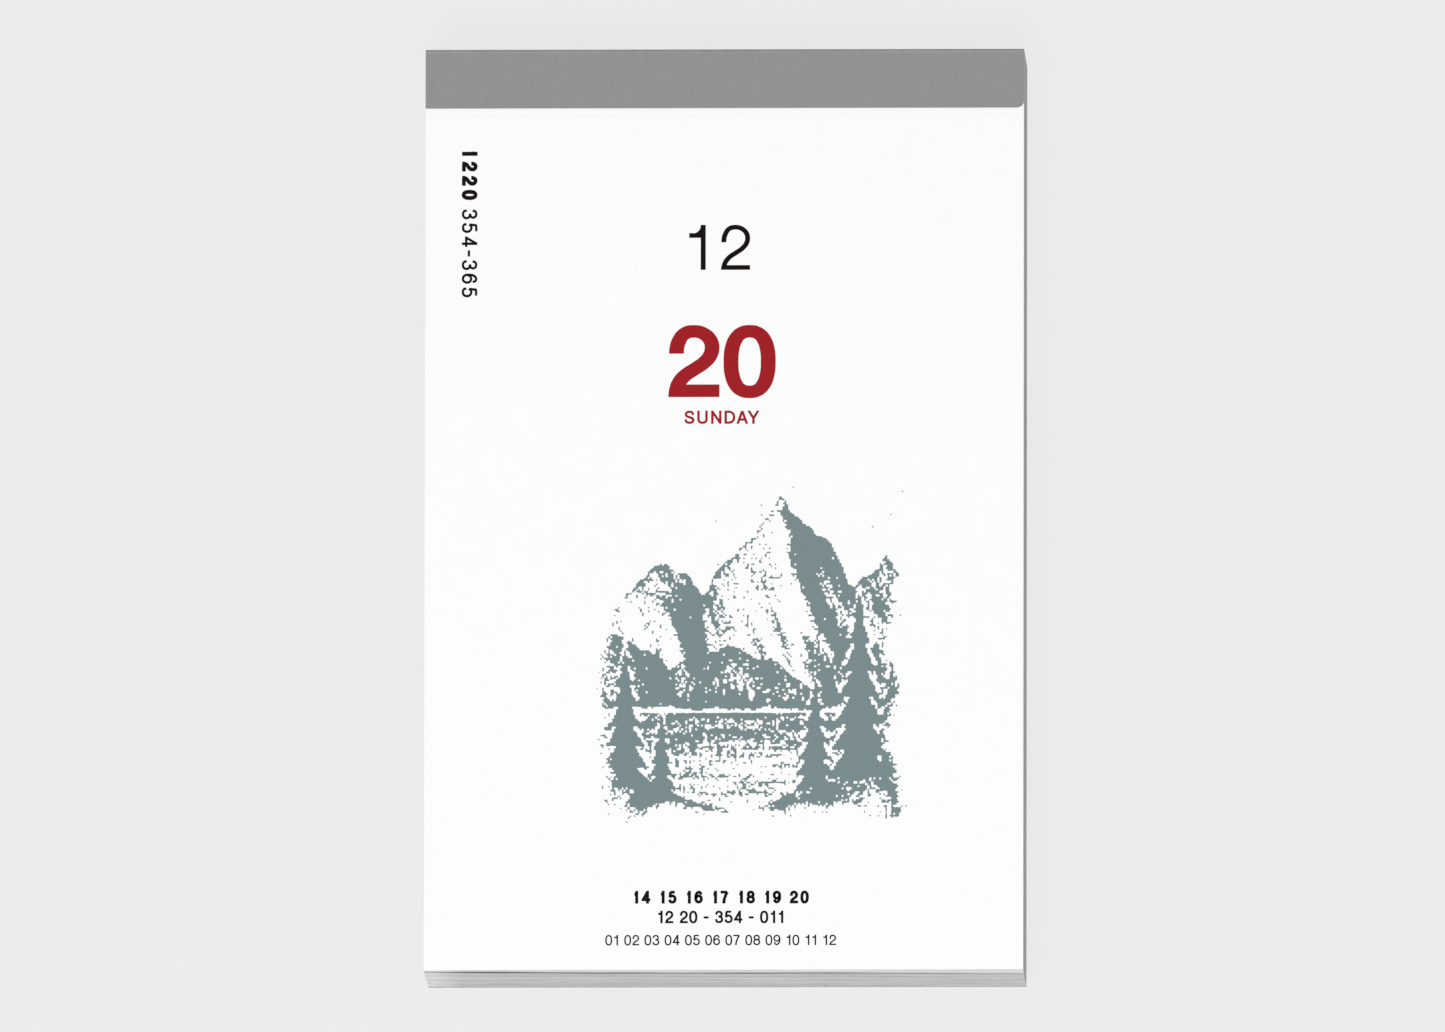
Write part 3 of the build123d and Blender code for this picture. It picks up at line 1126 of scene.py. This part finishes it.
def dotted_picture(left, right, foot, head, seed, mirrored):
    """The picture, or its mirror image, as one flat bmesh of printed cells at z 0."""
    columns = round((right - left) / cell_size)
    rows = round((head - foot) / cell_size)
    dice = random.Random(seed)
    grid = bmesh.new()
    bmesh.ops.create_grid(grid, x_segments=columns, y_segments=rows, size=0.5)
    bare = []
    for place, face in enumerate(grid.faces):
        row, column = divmod(place, columns)
        across = (column + 0.5) / columns
        grain = grain_depth * smooth_noise(column / grain_cells, row / grain_cells, seed)
        grain += dice.uniform(-grain_scatter, grain_scatter)
        tone = picture_tone(1 - across if mirrored else across, (row + 0.5) / rows, seed)
        if tone + grain < half_tone:
            bare.append(face)
    bmesh.ops.delete(grid, geom=bare, context="FACES")
    rims = [vertex for vertex in grid.verts if vertex.is_boundary]
    bmesh.ops.smooth_vert(
        grid, verts=rims, factor=rim_softness, use_axis_x=True, use_axis_y=True, use_axis_z=False
    )
    for vertex in rims:
        vertex.co.x += dice.uniform(-ink_spread, ink_spread) / columns
        vertex.co.y += dice.uniform(-ink_spread, ink_spread) / rows
    bmesh.ops.scale(grid, vec=(right - left, head - foot, 1), verts=grid.verts)
    bmesh.ops.translate(grid, vec=((left + right) / 2, (foot + head) / 2, 0), verts=grid.verts)
    return grid


print(f"cells of {cell_size / MM} mm")

# %% [markdown]
# Each leaf carries the month, the day, the weekday, a date down the side, three small rows of plain
# numbers and the picture. The table gives every line its left end, right end, base, height and pen in
# millimetres, and the two parts of the date down the side are set from the left before they are turned.
# Today's print lies on today's leaf. Tomorrow's lies in the gap under it and shows when today's
# leaf is lifted or torn off.

# %% Print the two leaves
ink_depth = 0.008 * MM
picture_place = (-22.3 * MM, 30.6 * MM, -52.9 * MM, 3.9 * MM)
label_place = (-43.9 * MM, 60.59 * MM, 0)
label_turn = Matrix.Rotation(-math.pi / 2, 3, "Z")
LINE_PLACES = {
    "month": (-5.9, 4.28, 40.37, 7.57, 0.79),
    "weekday": (-6.65, 5.84, 14.47, 2.22, 0.39),
    "side_date": (0, 8.39, 0, 2.6, 0.64),
    "side_count": (9.93, 24.78, 0, 2.6, 0.4),
    "week_row": (-15, 14.25, -66.1, 2.15, 0.48),
    "count_row": (-10.9, 10, -69.4, 2.1, 0.36),
    "month_row": (-19.7, 18.8, -73.1, 1.75, 0.24),
}
today_day = (-9.51, 8.58, 18.98, 12.1, 2.11)
next_day = (-7.9, 6.3, 18.98, 12.1, 2.11)
day_style = {"swell": 0.18, "stretch": 1.09}
year_days = 365
days_before_month = 334


def leaf_lines(day, weekday, week_start):
    """What the lines of print say on the leaf of one day in the twelfth month."""
    count = days_before_month + day
    return {
        "month": "12",
        "day": f"{day}",
        "weekday": weekday,
        "side_date": f"12{day}",
        "side_count": f"{count}-{year_days}",
        "week_row": " ".join(f"{week_start + number}" for number in range(7)),
        "count_row": f"12 {day} - {count} - {year_days - count:03d}",
        "month_row": " ".join(f"{month:02d}" for month in range(1, 13)),
    }


def lay_ink(name, mesh, z, material):
    """Gives a flat print its film of ink and lays it on a leaf."""
    bmesh.ops.translate(mesh, vec=(0, 0, z), verts=mesh.verts)
    thicken(mesh, ink_depth)
    return make_piece(name, mesh, material)


def print_leaf(prefix, z, lines, day_place, day_ink, seed, mirrored):
    """All the print of one leaf."""
    places = {**LINE_PLACES, "day": day_place}
    pieces = []
    for name, text in lines.items():
        style = day_style if name == "day" else {}
        line = set_line(text, *[size * MM for size in places[name]], **style)
        if name.startswith("side"):
            bmesh.ops.rotate(line, cent=(0, 0, 0), matrix=label_turn, verts=line.verts)
            bmesh.ops.translate(line, vec=label_place, verts=line.verts)
        ink = day_ink if name in ("day", "weekday") else black_ink
        pieces.append(lay_ink(f"{prefix}_{name}", line, z, ink))
    picture = dotted_picture(*picture_place, seed, mirrored)
    pieces.append(lay_ink(f"{prefix}_picture", picture, z, green_ink))
    return pieces


today_lines = leaf_lines(20, "SUNDAY", week_start=14)
today_print = print_leaf("today", page_z, today_lines, today_day, red_ink, seed=4.0, mirrored=False)
for piece in today_print:
    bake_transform(piece)
next_lines = leaf_lines(21, "MONDAY", week_start=21)
next_print = print_leaf("next", next_z, next_lines, next_day, black_ink, seed=9.0, mirrored=True)
for piece in next_print:
    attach(piece, "pad")
print("today's print:", " | ".join(today_lines.values()))
